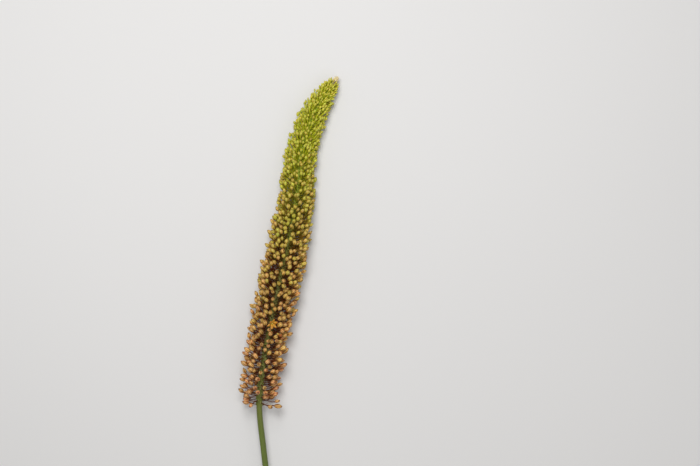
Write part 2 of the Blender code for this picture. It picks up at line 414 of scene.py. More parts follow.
stem = {
    "racemeFoot": (-0.0460, -0.0751),  # where the lowest bud's height lies, in x and y
    "route": (  # x and y from there, and height, from cut end to tip
        (0.0380, -0.3220, 0.0045),
        (0.0215, -0.1900, 0.0120),
        (0.0065, -0.0700, 0.0195),
        (0.0005, 0.0000, 0.0235),
        (0.0068, 0.0540, 0.0250),
        (0.0215, 0.1330, 0.0245),
        (0.0395, 0.2130, 0.0220),
        (0.0535, 0.2900, 0.0180),
        (0.0615, 0.3600, 0.0145),
        (0.0770, 0.4090, 0.0125),
        (0.1120, 0.4660, 0.0110),
    ),
    "routeSamples": 16,
    "radius": ((0.0, 0.0043), (0.04, 0.0046), (0.38, 0.0041), (0.45, 0.0036), (0.60, 0.0032), (0.80, 0.0026),
               (0.93, 0.0018), (1.0, 0.0008)),
    "step": 0.0035,  # between two rings of the tube
    "tube": {
        "Sides": 48, "Ribs": 12.0, "Rib Depth": 0.018, "Unevenness": 0.00035, "Grain": 260.0, "Seed": 3.0},
    "rimWidth": 0.0009,  # the green rind round the pale cut end
    "pithDepth": 0.0004,
}


def stemLine():
    foot = Vector((*stem["racemeFoot"], 0.0))
    route = [Vector(point) + foot for point in stem["route"]]
    chords = [end - start for start, end in zip(route, route[1:])]
    headings = [chords[0].normalized()]
    headings += [(a.normalized() + b.normalized()).normalized() for a, b in zip(chords, chords[1:])]
    headings.append(chords[-1].normalized())
    points = []
    for i, chord in enumerate(chords):
        handle = chord.length / 3
        points += interpolate_bezier(
            route[i],
            route[i] + headings[i] * handle,
            route[i + 1] - headings[i + 1] * handle,
            route[i + 1],
            stem["routeSamples"],
        )[:-1]
    points.append(route[-1])
    distances = [0.0]
    for start, end in zip(points, points[1:]):
        distances.append(distances[-1] + (end - start).length)
    return points, distances


stemPoints, stemDistances = stemLine()
stemLength = stemDistances[-1]


def placeOnStem(distance):
    # A place on the stem's line, and the way the stem runs there
    i = min(max(bisect.bisect_right(stemDistances, distance) - 1, 0), len(stemPoints) - 2)
    along = (stemPoints[i + 1] - stemPoints[i]).normalized()
    return stemPoints[i] + along * (distance - stemDistances[i]), along


def sidesOf(along):
    right = along.cross(upward).normalized()
    return right, right.cross(along)


# Where every bud sits

raceme = {
    "start": 0.3265,
    "length": 0.4800,
    "youngestGap": 0.0098,
    # From the raceme's foot to its tip: share of its length, value. The reach is the CAD model's,
    # and the buds are as many and as small as the real ones
    "pitch": ((0.0, 0.00115), (0.08, 0.00064), (0.30, 0.00037), (0.46, 0.00032), (0.61, 0.00028),
              (0.76, 0.00022), (0.89, 0.00018), (1.0, 0.00013)),
    "reach": ((0.0, 0.029), (0.15, 0.032), (0.45, 0.0325), (0.56, 0.0285), (0.70, 0.0245), (0.82, 0.0225),
              (0.88, 0.0200), (0.93, 0.0150), (0.965, 0.0108), (1.0, 0.0060)),
    "innermost": ((0.0, 0.66), (0.45, 0.58), (0.70, 0.50), (1.0, 0.45)),
    "outermost": 1.12,
    "outerCrowding": 0.6,  # below 1 draws more buds to the outside
    "lean": ((0.0, 88), (0.45, 78), (0.70, 64), (0.85, 54), (0.95, 46), (1.0, 44)),
    "leanJitter": ((0.0, 15), (0.15, 9), (1.0, 6)),
    "budLength": ((0.0, 0.0112), (0.25, 0.0100), (0.46, 0.0088), (0.61, 0.0078), (0.76, 0.0068),
                  (0.89, 0.0061), (1.0, 0.0040)),
    "budRadius": ((0.0, 0.0034), (0.25, 0.0031), (0.46, 0.0029), (0.61, 0.0026), (0.76, 0.0022),
                  (0.86, 0.0018), (0.90, 0.0016), (1.0, 0.0010)),
    "budShare": 0.9,  # of a bud's length, what it takes of the reach
    "sizeJitter": 0.15,
    "turnJitter": 0.12,
    # How far the buds in front of the stem stand aside, so that it shows
    "parting": ((0.0, 0.28), (0.55, 0.30), (0.70, 0.62), (1.0, 0.62)),
    "seed": 5,
    "riseShare": 0.25,  # a stalk leaves the stem below its bud's height
    "lowestRoot": 0.010,
    "shortestStalk": 0.0008,
    "upturn": ((0.0, 0.34), (0.25, 0.68), (0.45, 0.84), (1.0, 0.94)),  # and the bud turns up from it
    "wander": 0.46,  # and a little aside
    "flattest": 0.84,  # of a bud's two widths, the narrower against the wider
    "youngFrom": (0.38, 0.68),  # where half grown and young buds begin
    # How the buds make room for each other
    "settleRounds": 24,
    "settleEase": 0.5,
    "footing": 1.13,  # a bud's half thickness against its egg's, for its ribs
    "stalkChecks": (0.35, 0.5, 0.65, 0.8, 0.92),  # where along a stalk it keeps off the buds
    "stalkRoom": 0.0007,
}


def planBuds():
    chance = random.Random(raceme["seed"])
    buds = []
    height = 0.0
    while height < raceme["length"] - raceme["youngestGap"]:
        share = height / raceme["length"]
        turn = len(buds) * goldenAngle + chance.uniform(-1, 1) * raceme["turnJitter"]
        turn -= readProfile(raceme["parting"], share) * math.cos(turn) * max(math.sin(turn), 0.0)
        lean = readProfile(raceme["lean"], share)
        lean = math.radians(lean + chance.uniform(-1, 1) * readProfile(raceme["leanJitter"], share))
        size = 1 + chance.uniform(-1, 1) * raceme["sizeJitter"]
        inner = readProfile(raceme["innermost"], share)
        depth = inner + (raceme["outermost"] - inner) * chance.random() ** raceme["outerCrowding"]
        reach = readProfile(raceme["reach"], share)
        distance = raceme["start"] + max(height - raceme["riseShare"] * reach, -raceme["lowestRoot"])
        centre, along = placeOnStem(distance)
        outward = swing(*sidesOf(along), turn)
        stemRadius = readProfile(stem["radius"], distance / stemLength)
        length = readProfile(raceme["budLength"], share) * size
        radius = readProfile(raceme["budRadius"], share) * size
        stalk = (reach * depth - stemRadius) / math.sin(lean) - length * raceme["budShare"]
        bud = {
            "height": height,
            "share": share,
            "root": centre + outward * stemRadius,
            "along": along,
            "outward": outward,
            "length": length,
            "radius": radius,
            "room": radius,
            "flatness": chance.uniform(raceme["flattest"], 1.0),
            "wander": Vector([chance.uniform(-1, 1) for _ in range(3)]) * raceme["wander"],
            "stalk": max(stalk, raceme["shortestStalk"]),
            "heading": swing(along, outward, lean),
            "tone": chance.random(),
            "roll": chance.uniform(0, math.tau),
            "stage": sum(share >= start for start in raceme["youngFrom"]),
        }
        aimBud(bud)
        buds.append(bud)
        height += readProfile(raceme["pitch"], share)
    return buds


def aimBud(bud):
    # The stalk goes along its heading, and the bud turns a little up the raceme from it
    bud["neck"] = bud["root"] + bud["heading"] * bud["stalk"]
    upturn = readProfile(raceme["upturn"], bud["share"])
    bud["facing"] = (bud["heading"] + bud["along"] * upturn + bud["wander"]).normalized()
    bud["middle"] = bud["neck"] + bud["facing"] * (bud["length"] / 2)


def sunkBy(bud):
    # How far the egg that a bud fills reaches below the surface
    rise = bud["facing"].z
    half = math.hypot(bud["length"] / 2 * rise, bud["radius"] * math.sqrt(max(1 - rise * rise, 0.0)))
    return max(half * raceme["footing"] - bud["middle"].z, 0.0)


def giveWay(gap, axis, reach, width):
    # How far a thing has to move out of an egg, from the gap between their middles
    lengthwise = gap.dot(axis)
    sideways = gap - axis * lengthwise
    nearness = math.hypot(lengthwise / reach, sideways.length / width)
    if nearness >= 1 or sideways.length < 1e-6:
        return Vector()
    return sideways.normalized() * (1 - nearness) * width


def pressBud(bud, other):
    axis = (bud["facing"] + other["facing"]).normalized()
    reach = (bud["length"] + other["length"]) / 2
    return giveWay(other["middle"] - bud["middle"], axis, reach, bud["room"] + other["room"])


def pressStalk(place, other):
    width = other["radius"] + raceme["stalkRoom"]
    return giveWay(other["middle"] - place, other["facing"], other["length"] / 2, width)


def settleBuds(buds, florets):
    # Buds that press on each other, on a stalk or on the surface swing round their roots, round by
    # round, until they hardly touch
    widest = max(bud["length"] + bud["room"] for bud in buds)
    for _ in range(raceme["settleRounds"]):
        tree = kdtree.KDTree(len(buds))
        for number, bud in enumerate(buds):
            tree.insert(bud["middle"], number)
        tree.balance()
        pushes = [Vector() for _ in buds]
        for number, bud in enumerate(buds):
            presses = [(other, pressBud(bud, buds[other]))
                       for _, other, _ in tree.find_range(bud["middle"], widest) if other > number]
            for share in raceme["stalkChecks"]:
                place = bud["root"].lerp(bud["neck"], share)
                presses += [(other, pressStalk(place, buds[other]))
                            for _, other, _ in tree.find_range(place, widest / 2) if other != number]
            for other, push in presses:
                pushes[number] -= push
                pushes[other] += push
            pushes[number] += upward * sunkBy(bud)
        for bud, push in zip(buds, pushes):
            if bud in florets:
                continue
            arm = bud["stalk"] + bud["length"] / 2
            bud["heading"] = (bud["heading"] * arm + push * raceme["settleEase"]).normalized()
            aimBud(bud)
    for bud in buds:
        lift = upward * sunkBy(bud)
        bud["neck"] += lift
        bud["middle"] += lift


floretForms = (
    # Where its foot is, which way it turns aside, how much room it takes among the buds, how far its
    # outer and inner tepals open, how they curl, and how faded it is
    {"place": (-0.0261, 0.0376, 0.0420), "turn": (-0.15, -0.95, 0.05), "room": 0.0075,
     "spreads": (0.98, 0.78), "curls": (0.7, 0.45), "fade": 0.0},
    {"place": (-0.0190, 0.0225, 0.0400), "turn": (0.35, -0.70, 0.10), "room": 0.0045,
     "spreads": (0.34, 0.24), "curls": (-0.5, -0.7), "fade": 1.0},
)


def openBuds(buds):
    # The buds nearest to the florets' places open there
    florets = []
    for floret in floretForms:
        place = Vector(floret["place"])
        bud = min(buds, key=lambda bud: (bud["neck"] - place).length)
        bud["stalk"] = (place - bud["root"]).length
        bud["heading"] = (place - bud["root"]).normalized()
        bud["wander"] = Vector(floret["turn"])
        bud["room"] = floret["room"]
        aimBud(bud)
        florets.append(bud)
    return florets


buds = planBuds()
florets = openBuds(buds)
settleBuds(buds, florets)
closedBuds = [bud for bud in buds if bud not in florets]
print("buds placed:", len(closedBuds), "closed,", len(florets), "open")


# The stem

stemColours = {
    # From the cut end to the tip: share of the length, colour
    "body": ((0.0, (98, 116, 50)), (0.34, (98, 112, 46)), (0.42, (108, 112, 42)), (0.60, (106, 101, 38)),
             (0.69, (124, 122, 38)), (0.78, (154, 168, 42)), (0.88, (162, 186, 46)), (1.0, (168, 192, 54))),
    "lines": ((0.0, (70, 88, 34)), (0.42, (68, 72, 30)), (0.62, (70, 78, 28)), (0.78, (120, 138, 34)),
              (1.0, (128, 154, 38))),
    "bloom": (146, 160, 96),
    "flecks": (66, 62, 34),
    "pith": ((206, 208, 136), (170, 180, 92)),
}


def stemSkin():
    # Fresh green with a grey bloom, fine lines along it and a few dark flecks
    material, tree, surface = newMaterial("stemSkin", {"Roughness": 0.5, "Specular IOR Level": 0.35})
    age = readAttribute(tree, "age")
    spots = addGroup(tree, mottle, {"Blotch Scale": 120.0, "Grain Scale": 1500.0})
    lines = addGroup(tree, fibres, {
        "Around": readAttribute(tree, "around", "Vector"), "Along": readAttribute(tree, "along"),
        "Fineness": 9.0, "Stretch": 22.0})["Lines"]
    colour = mixColours(tree, spread(tree, lines, 0.45, 0.70, 0.0, 0.7),
                        ramp(tree, age, stemColours["body"]), ramp(tree, age, stemColours["lines"]))
    colour = mixColours(tree, spread(tree, spots["Blotch"], 0.50, 0.74, 0.0, 0.12), colour,
                        stemColours["bloom"])
    colour = mixColours(tree, spread(tree, spots["Grain"], 0.66, 0.74, 0.0, 0.5), colour,
                        stemColours["flecks"])
    pith = mixColours(tree, spread(tree, spots["Grain"], 0.35, 0.65, 0.0, 1.0), *stemColours["pith"])
    colour = mixColours(tree, readAttribute(tree, "paleness"), colour, pith)
    tree.links.new(colour, surface.inputs["Base Color"])
    tree.links.new(spread(tree, lines, 0.3, 0.7, 0.38, 0.55), surface.inputs["Roughness"])
    addBump(tree, surface, calculate(tree, "MULTIPLY_ADD", spots["Grain"], 0.2, lines), 0.00025)
    return material


def makeStem(material):
    steps = round(stemLength / stem["step"])
    rows = []
    for k in range(steps + 1):
        distance = stemLength * k / steps
        rows.append({
            "place": placeOnStem(distance)[0],
            "thickness": readProfile(stem["radius"], k / steps),
            "along": distance,
            "age": distance / stemLength,
        })
    points = pointMesh("stem", rows, [(k, k + 1) for k in range(steps)])
    item = grow("stem", points, tubes, {**stem["tube"], "Material": material})
    cutFoot(item.data)
    return item


def cutFoot(mesh):
    # The cut end: a rim of rind round a pith that stands a little back
    mesh.attributes.new("paleness", "FLOAT", "POINT")
    shape = bmesh.new()
    shape.from_mesh(mesh)
    layer = shape.verts.layers.float["paleness"]
    start, along = placeOnStem(0.0)
    caps = [face for face in shape.faces if len(face.verts) == stem["tube"]["Sides"]]
    foot = min(caps, key=lambda face: (face.calc_center_median() - start).length)
    for width in (stem["rimWidth"], stem["rimWidth"] / 2):
        bmesh.ops.inset_region(shape, faces=[foot], thickness=width, use_even_offset=True)
    for corner in foot.verts:
        corner.co += along * stem["pithDepth"]
        corner[layer] = 1.0
    for face in list(foot.edges[0].link_faces) + [foot]:
        face.smooth = False
    shape.to_mesh(mesh)
    shape.free()


# The closed buds

budForm = {
    "sides": 12,
    # Where the rings are on full grown, half grown and young buds
    "rings": ((0.04, 0.19, 0.43, 0.69, 0.90), (0.04, 0.19, 0.43, 0.69, 0.90), (0.06, 0.32, 0.64, 0.89)),
    # Two kinds of each: where the widest place sits, how blunt the ends are, how far the ribs stand
    # out, and how far the tip leans aside
    "kinds": ((0.86, 0.68, 0.030, 0.10), (0.94, 0.84, 0.034, 0.42),
              (0.86, 0.74, 0.026, 0.08), (0.96, 0.88, 0.030, 0.36),
              (0.92, 0.86, 0.024, 0.05), (1.00, 0.94, 0.024, 0.25)),
    "outerLift": 0.045,  # three outer tepals lie over three inner ones
    "tipLobes": 1.6,  # and part a little at the tip
    "kindDraws": 64,  # a bud's tone also picks one of its two kinds
}

budColours = {
    # From the raceme's foot to its tip: share of its length, colour
    "body": ((0.0, (172, 98, 30)), (0.22, (172, 114, 30)), (0.42, (172, 131, 30)), (0.60, (170, 152, 32)),
             (0.78, (174, 174, 40)), (0.92, (176, 182, 40)), (1.0, (206, 196, 54))),
    # The dark marks: ribs and tips in their own colour, and painted shade in the seams and at the foot
    "marksAndShade": ((0.0, (112, 48, 14)), (0.35, (114, 66, 12)), (0.60, (138, 120, 16)), (0.80, (162, 162, 26)),
             (1.0, (184, 172, 36))),
    # The pale one: the rims' own colour, and the painted highlight round each bud's middle
    "pale": ((0.0, (252, 203, 138)), (0.40, (240, 206, 118)), (0.70, (211, 206, 84)), (1.0, (220, 214, 92))),
    "sheen": (250, 208, 124),
}


def budShape(name, rings, skew, bluntness, ribLift, bend):
    # A closed egg of unit length and radius, with a rib on each tepal. Its UV map counts the tepals
    sides = budForm["sides"]
    shape, uvLayer = newShape()
    shares = [0.0, *rings, 1.0]
    rows = []
    for share in shares:
        width = math.sin(math.pi * share ** skew) ** bluntness if 0 < share < 1 else 0.0
        aside = bend * share * share
        lobes = 1 + budForm["tipLobes"] * share ** 4
        row = []
        for k in range(sides if width else 1):
            angle = math.tau * k / sides
            rib = (math.cos(angle * tepalCount) * ribLift
                   + math.cos(angle * tepalCount / 2) * budForm["outerLift"]) * lobes
            row.append(shape.verts.new((
                math.cos(angle) * width * (1 + rib) + aside, math.sin(angle) * width * (1 + rib), share)))
        rows.append(row)
    for i in range(len(rows) - 1):
        for k in range(sides):
            corners = {}
            for row, step in ((i, k), (i, k + 1), (i + 1, k + 1), (i + 1, k)):
                place = k + 0.5 if len(rows[row]) == 1 else step
                corner = rows[row][step % len(rows[row])]
                corners.setdefault(corner, (place * tepalCount / sides, shares[row]))
            face = shape.faces.new(corners)
            for loop, spot in zip(face.loops, corners.values()):
                loop[uvLayer].uv = spot
    return closeShape(name, shape)


def budSkin():
    # Peach and tan on old buds, gold in the middle, yellow-green on young ones. Rims are pale,
    # and a pale band round the middle is a painted highlight. Ribs and tip are dark, and seams
    # and foot are dark, partly their own colour and partly painted shade
    material, tree, surface = newMaterial("budSkin", {
        "Roughness": 0.5, "Specular IOR Level": 0.3,
        "Subsurface Weight": 0.2, "Subsurface Scale": 0.002,
        "Coat Weight": 0.1, "Coat Roughness": 0.35,
        "Sheen Weight": 0.25, "Sheen Roughness": 0.4, "Sheen Tint": linear(budColours["sheen"])})
    tone = readAttribute(tree, "tone")
    marks = addGroup(tree, tepalMarks)
    spots = addGroup(tree, mottle)
    along = marks["Along"]
    stage = calculate(tree, "ADD", readAttribute(tree, "age"), spread(tree, tone, 0.0, 1.0, -0.14, 0.14))
    stage = calculate(tree, "ADD", stage, spread(tree, spots["Blotch"], 0.3, 0.7, -0.05, 0.05))
    body, marksAndShade, pale = [ramp(tree, stage, budColours[label]) for label in ("body", "marksAndShade", "pale")]
    # Every second tepal is an outer one, broad, with pale rims. An inner one is a dark seam between two:
    # its own darker colour, and painted shade in the slit
    aside = fromMiddle(tree, calculate(tree, "MULTIPLY_ADD", marks["Across"], 0.5, 0.5))
    rib = mask(tree, aside, 0.13, 0.0, 0.75)
    rim = calculate(tree, "MINIMUM", mask(tree, aside, 0.14, 0.32, 0.75), mask(tree, aside, 0.46, 0.38))
    # Painted shade in the slits between outer tepals, over the inner tepals' own darker colour
    seamAndShade = mask(tree, aside, 0.39, 0.49, 0.65)
    # A pale band round each bud's middle: a painted highlight
    paintedHighlight = calculate(tree, "SUBTRACT", mask(tree, along, 0.36, 0.66, 0.6),
                       mask(tree, along, 0.72, 0.86, 0.6))
    tip = mask(tree, along, 0.80, 0.95, 0.85)
    # Darker towards the neck: partly the bud's own darker foot, partly painted shade where it meets its stalk
    foot = mask(tree, along, 0.26, 0.0, 0.75)
    colour = mixColours(tree, calculate(tree, "MAXIMUM", rim, paintedHighlight), body, pale)
    for dark in (calculate(tree, "MAXIMUM", rib, seamAndShade), tip, foot):
        colour = mixColours(tree, dark, colour, marksAndShade)
    # Two more draws for each bud, from its tone: how light it is, and how its hue is turned
    lightDraw, hueDraw = [calculate(tree, "FRACT", calculate(tree, "MULTIPLY", tone, factor))
                          for factor in (7.0, 23.0)]
    light = calculate(tree, "MULTIPLY", spread(tree, spots["Blotch"], 0.25, 0.75, 0.86, 1.08),
                      spread(tree, lightDraw, 0.0, 1.0, 1.10, 0.86))
    paint(tree, surface, colour, light, spread(tree, hueDraw, 0.0, 1.0, 0.49, 0.51))
    tree.links.new(spread(tree, spots["Grain"], 0.3, 0.7, 0.44, 0.60), surface.inputs["Roughness"])
    addGrooves(tree, surface, marks["Across"], spots["Grain"], 5, 0.25, 0.00008)
    return material


def makeBuds(chosen):
    rows = []
    for bud in chosen:
        rows.append({
            "place": bud["neck"],
            "facing": bud["facing"],
            "across": swing(*sidesOf(bud["along"]), bud["roll"]),
            "size": Vector((bud["radius"], bud["radius"] * bud["flatness"], bud["length"])),
            "kind": 2 * bud["stage"] + int(bud["tone"] * budForm["kindDraws"]) % 2,
            "age": bud["share"],
            "tone": bud["tone"],
        })
    shapes = [budShape(f"budKind{number}", budForm["rings"][number // 2], *kind)
              for number, kind in enumerate(budForm["kinds"])]
    return growCopies("buds", rows, shapes, budSkin())


# The stalks

stalkForm = {
    "tube": {"Sides": 5, "Ribs": 0.0, "Rib Depth": 0.0, "Unevenness": 0.0, "Grain": 1.0, "Seed": 0.0},
    "sink": 0.0012,  # the root starts inside the stem
    "overlap": 0.0006,  # and the end is inside the bud
    "steps": 4,
    "bend": 0.35,  # of its span, how far each end keeps its own way
    # Share of the stalk, radius on a full grown bud: flared at the stem and under the bud
    "radius": ((0.0, 0.00105), (0.14, 0.00068), (0.5, 0.00056), (0.85, 0.00062), (1.0, 0.00092)),
    "youngShare": 0.55,  # of the thickness, at the tip of the raceme
}

stalkColours = {
    # From the raceme's foot to its tip, along the stalk and at its root
    "body": ((0.0, (92, 34, 10)), (0.42, (100, 44, 10)), (0.58, (134, 112, 20)), (0.76, (198, 203, 36)),
             (1.0, (212, 214, 48))),
    "root": ((0.0, (86, 76, 32)), (0.6, (122, 130, 30)), (0.78, (176, 196, 44)), (1.0, (186, 198, 50))),
}


def stalkSkin():
    # Purplish brown on the long old stalks, green on the short young ones
    material, tree, surface = newMaterial("stalkSkin", {"Roughness": 0.6, "Specular IOR Level": 0.2})
    age = readAttribute(tree, "age")
    reach = readAttribute(tree, "reach")
    colour = mixColours(tree, spread(tree, reach, 0.35, 0.0, 0.0, 0.75),
                        ramp(tree, age, stalkColours["body"]), ramp(tree, age, stalkColours["root"]))
    spots = addGroup(tree, mottle)
    paint(tree, surface, colour, spread(tree, spots["Blotch"], 0.25, 0.75, 0.8, 1.15))
    lines = addGroup(tree, fibres, {
        "Around": readAttribute(tree, "around", "Vector"), "Along": reach, "Fineness": 3.0, "Stretch": 2.0})
    addBump(tree, surface, lines["Lines"], 0.0002)
    return material


def makeStalks(chosen):
    rows, edges = [], []
    for bud in chosen:
        start = bud["root"] - bud["outward"] * min(stalkForm["sink"], bud["radius"])
        end = bud["neck"] + bud["facing"] * stalkForm["overlap"]
        span = (end - start).length
        places = interpolate_bezier(
            start,
            start + bud["outward"] * span * stalkForm["bend"],
            end - bud["facing"] * span * stalkForm["bend"],
            end,
            stalkForm["steps"] + 1,
        )
        scale = 1 - (1 - stalkForm["youngShare"]) * bud["share"]
        for k, place in enumerate(places):
            share = k / stalkForm["steps"]
            if k:
                edges.append((len(rows) - 1, len(rows)))
            rows.append({
                "place": place,
                "thickness": readProfile(stalkForm["radius"], share) * scale,
                "reach": share,
                "age": bud["share"],
            })
    points = pointMesh("stalks", rows, edges)
    return grow("stalks", points, tubes, {**stalkForm["tube"], "Material": stalkSkin()})


# The swollen foot of each stalk

cushionForm = {
    "sides": 8,
    "rings": ((1.0, -0.35), (0.94, 0.20), (0.66, 0.62), (0.30, 0.80)),  # radius, height
    "oldSize": 0.0019,
    "youngSize": 0.00085,
    "stretch": (1.0, 1.4, 0.75),  # round the stem, along it, out of it
    "sink": 0.0001,
    "paleness": 0.24,  # of the palest, towards the pith's colour
}


def cushionShape(name):
    # A low closed mound
    shape = bmesh.new()
    angles = [math.tau * k / cushionForm["sides"] for k in range(cushionForm["sides"])]
    rings = [[shape.verts.new((math.cos(angle) * radius, math.sin(angle) * radius, height))
              for angle in angles] for radius, height in cushionForm["rings"]]
    joinRings(shape, rings)
    closeEnds(shape, rings)
    return closeShape(name, shape)


def makeCushions(chosen, material):
    old, young = cushionForm["oldSize"], cushionForm["youngSize"]
    rows = []
    for bud in chosen:
        distance = raceme["start"] + bud["height"]
        rows.append({
            "place": bud["root"] - bud["outward"] * cushionForm["sink"],
            "facing": bud["outward"],
            "across": bud["outward"].cross(bud["along"]),
            "size": Vector(cushionForm["stretch"]) * (old + (young - old) * bud["share"]),
            "kind": 0,
            "paleness": cushionForm["paleness"] * bud["tone"] ** 2,
            "age": distance / stemLength,
            "along": distance,
        })
    return growCopies("stalkCushions", rows, [cushionShape("cushion")], material)


# The dry bracts at the foot of the stalks

bladeForm = {
    # Round its section, which is keeled on one side: share of the half width, share of the thickness
    "section": ((-1.0, 0.0), (-0.5, 0.8), (0.0, 1.2), (0.5, 0.8), (1.0, 0.0), (0.0, -0.1)),
    "uvHalfWidth": 0.49,  # of a tepal's width on the UV map, which is 1
}


def addBlade(shape, uvLayer, stations, thickness, tepal=0):
    # A closed blade with a keel. A station is its middle, edge direction, back direction, half width
    last = len(stations) - 1
    rings, spots = [], {}
    for i, (middle, edge, back, width) in enumerate(stations):
        rings.append([])
        for x, y in bladeForm["section"]:
            corner = shape.verts.new(middle + edge * (x * width) + back * (y * thickness))
            rings[-1].append(corner)
            spots[corner] = (tepal + x * bladeForm["uvHalfWidth"], i / last)
    sides = joinRings(shape, rings)
    for face in sides:
        face.smooth = True
    ends = [shape.faces.new(ring) for ring in (rings[0], rings[-1])]
    mapCorners(sides + ends, uvLayer, spots)


bractForm = {
    "stations": 6,
    "halfWidth": 0.075,  # of its own length
    "taper": (1.02, 0.6),  # where it would end in a point, of its length, and how bluntly
    "thickness": 0.012,
    "bends": (0.55, 0.95, 0.25),  # how far each kind curls out, in radians
    "twists": (0.3, -0.5, 0.8),
    "length": ((0.0, 0.0125), (0.5, 0.0085), (0.85, 0.0060), (1.0, 0.0080)),
    "lengthRange": (0.75, 1.15),
    "lean": 0.72,  # between up the stem and straight out
    "leanRange": (-0.25, 0.25),
    "asideRange": (-0.2, 0.2),
    "drop": 0.0011,  # below its stalk
    "clearHeight": 0.012,  # nearer to the surface than this it turns up
    "clearTurn": 40,  # by so much for each metre that it is too near
    "seed": 11,
    "paper": ((104, 74, 52), (156, 122, 86)),
    "edge": (196, 168, 128),
    "bleach": (0.6, 1.0, 0.5),  # from one share of the length to another, by so much
    "green": (192, 197, 48),
    "fresh": 0.85,  # how green they still are on the young part
}


def bractShape(name, bend, twist):
    # A narrow dry bract of unit length that curls out towards +X
    shape, uvLayer = newShape()
    stations = []
    place = Vector()
    last = bractForm["stations"] - 1
    end, bluntness = bractForm["taper"]
    for i in range(last + 1):
        share = i / last
        angle = bend * share
        run = Vector((math.sin(angle), 0.0, math.cos(angle)))
        back = Vector((-math.cos(angle), 0.0, math.sin(angle)))
        edge = swing(Vector((0.0, 1.0, 0.0)), back, twist * share)
        width = bractForm["halfWidth"] * (end - share) ** bluntness
        stations.append((place.copy(), edge, edge.cross(run), width))
        place += run / last
    addBlade(shape, uvLayer, stations, bractForm["thickness"])
    bmesh.ops.recalc_face_normals(shape, faces=shape.faces)
    return closeShape(name, shape)


def bractShapes(form):
    return [bractShape(f"bractKind{number}", *kind)
            for number, kind in enumerate(zip(form["bends"], form["twists"]))]


def drySkin(name, form):
    # Papery bracts with fibres along them, and bleached edges and ends
    material, tree, surface = newMaterial(name, {"Roughness": 0.8, "Specular IOR Level": 0.2})
    bleachStart, bleachEnd, bleachShare = form["bleach"]
    marks = addGroup(tree, tepalMarks, {"Rib Width": 0.2, "Margin Width": 0.25})
    spots = addGroup(tree, mottle)
    blend = calculate(tree, "ADD", calculate(tree, "MULTIPLY", readAttribute(tree, "tone"), 0.5),
                      spread(tree, spots["Blotch"], 0.3, 0.7, -0.1, 0.5))
    bleached = calculate(tree, "MAXIMUM", calculate(tree, "MULTIPLY", marks["Margin"], 0.6),
                         spread(tree, marks["Along"], bleachStart, bleachEnd, 0.0, bleachShare))
    young = spread(tree, readAttribute(tree, "age"), 0.35, 0.75, 0.0, form["fresh"])
    colour = mixColours(tree, blend, *form["paper"])
    colour = mixColours(tree, bleached, colour, form["edge"])
    colour = mixColours(tree, young, colour, form["green"])
    tree.links.new(colour, surface.inputs["Base Color"])
    addGrooves(tree, surface, marks["Across"], spots["Grain"], 7, 0.3, 0.00006)
    return material


def makeBracts(chosen):
    chance = random.Random(bractForm["seed"])
    rows = []
    for bud in chosen:
        along, outward = bud["along"], bud["outward"]
        lean = bractForm["lean"] + chance.uniform(*bractForm["leanRange"])
        aside = outward.cross(along) * chance.uniform(*bractForm["asideRange"])
        lift = upward * max(bractForm["clearHeight"] - bud["root"].z, 0.0) * bractForm["clearTurn"]
        length = readProfile(bractForm["length"], bud["share"]) * chance.uniform(*bractForm["lengthRange"])
        rows.append({
            "place": bud["root"] - along * bractForm["drop"],
            "facing": (along * (1 - lean) + outward * lean + aside + lift).normalized(),
            "across": -along,
            "size": Vector((length, length, length)),
            "age": bud["share"],
            "tone": chance.random(),
            "kind": chance.randrange(len(bractForm["bends"])),
        })
    return growCopies("bracts", rows, bractShapes(bractForm), drySkin("bractSkin", bractForm))


# The tuft at the tip

tuftForm = {
    "count": 72,
    "sunk": 0.0122,
    "ringRadius": 0.0008,
    "heightRange": (0.0, 0.0012),
    "length": 0.0138,
    "lengthRange": (0.82, 1.05),
    "shortening": (1.06, 0.22),  # the innermost bract's share of the length, and what the outermost loses
    "lean": (0.05, 0.50),  # of the innermost and the outermost bracts, in radians
    "strayShare": 0.08,  # of bracts that curl out, the others close over the tip
    "strayLean": 0.5,  # and they lean by so much less
    "bends": (0.75, 0.60, 0.95),
    "twists": (0.25, -0.35, 0.15),
    "width": 2.3,  # of a lower bract's
    "seed": 8,
    "paper": ((150, 120, 80), (194, 166, 116)),
    "edge": (252, 234, 178),
    "bleach": (0.37, 0.71, 0.95),
    "green": (192, 197, 48),
    "fresh": 0.0,
}


def makeTuft():
    # Papery bracts that close over the tip past the youngest buds
    chance = random.Random(tuftForm["seed"])
    tip, along = placeOnStem(stemLength - tuftForm["sunk"])
    right, up = sidesOf(along)
    inner, outer = tuftForm["lean"]
    longest, loss = tuftForm["shortening"]
    rows = []
    for k in range(tuftForm["count"]):
        share = (k + 0.5) / tuftForm["count"]
        lean = inner + (outer - inner) * share
        stray = chance.random() < tuftForm["strayShare"]
        lean *= tuftForm["strayLean"] if stray else 1.0
        outward = swing(right, up, k * goldenAngle)
        place = tip + outward * tuftForm["ringRadius"] + along * chance.uniform(*tuftForm["heightRange"])
        length = tuftForm["length"] * chance.uniform(*tuftForm["lengthRange"]) * (longest - loss * share)
        rows.append({
            "place": place,
            "facing": swing(along, outward, lean),
            "across": outward if stray else -outward,
            "size": Vector((length, length * tuftForm["width"], length)),
            "tone": chance.random(),
            "kind": chance.randrange(len(tuftForm["bends"])),
        })
    return growCopies("tipTuft", rows, bractShapes(tuftForm), drySkin("tuftSkin", tuftForm))


# The florets

floretColours = {
    # Along a tepal, fresh and faded, and along a stamen: share of the length, colour
    "fresh": ((0.0, (196, 168, 60)), (0.35, (230, 176, 48)), (0.75, (226, 158, 52)), (1.0, (206, 120, 54))),
    "faded": ((0.0, (170, 112, 52)), (0.4, (196, 112, 46)), (1.0, (158, 74, 38))),
    "rib": (142, 96, 38),
    "margin": (240, 204, 106),
    "stamen": ((0.0, (214, 190, 90)), (0.80, (222, 186, 92)), (0.86, (176, 98, 38)), (1.0, (190, 112, 44))),
}


